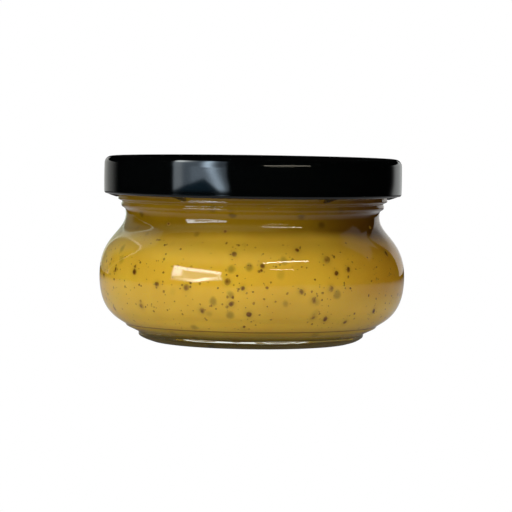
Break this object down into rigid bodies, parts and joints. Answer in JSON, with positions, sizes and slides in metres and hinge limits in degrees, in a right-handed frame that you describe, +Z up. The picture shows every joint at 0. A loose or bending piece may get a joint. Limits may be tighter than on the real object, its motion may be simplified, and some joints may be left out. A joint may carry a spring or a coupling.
{
  "type": "dressing jar",
  "caption": "Shut squat round clear glass jar of mustard dressing with visible seeds, closed by a black enamelled twist-off metal lid.",
  "frame": {"origin": "middle of the foot ring, on the surface that the jar stands on", "axes": "+Z up along the axis of the jar and lid; -Y towards the pictured front, which a round jar has only for its seeds"},
  "size_m": [0.0868, 0.0868, 0.0523],
  "materials": {
    "clear_glass": "clear moulded glass, fire-polished",
    "black_enamel": "glossy black enamel on tinplate",
    "honey_mustard": "thick opaque sauce with mustard seeds"
  },
  "bodies": {
    "root": {"jar": "clear_glass", "lid": "black_enamel", "dressing": "honey_mustard"}
  },
  "joints": []
}
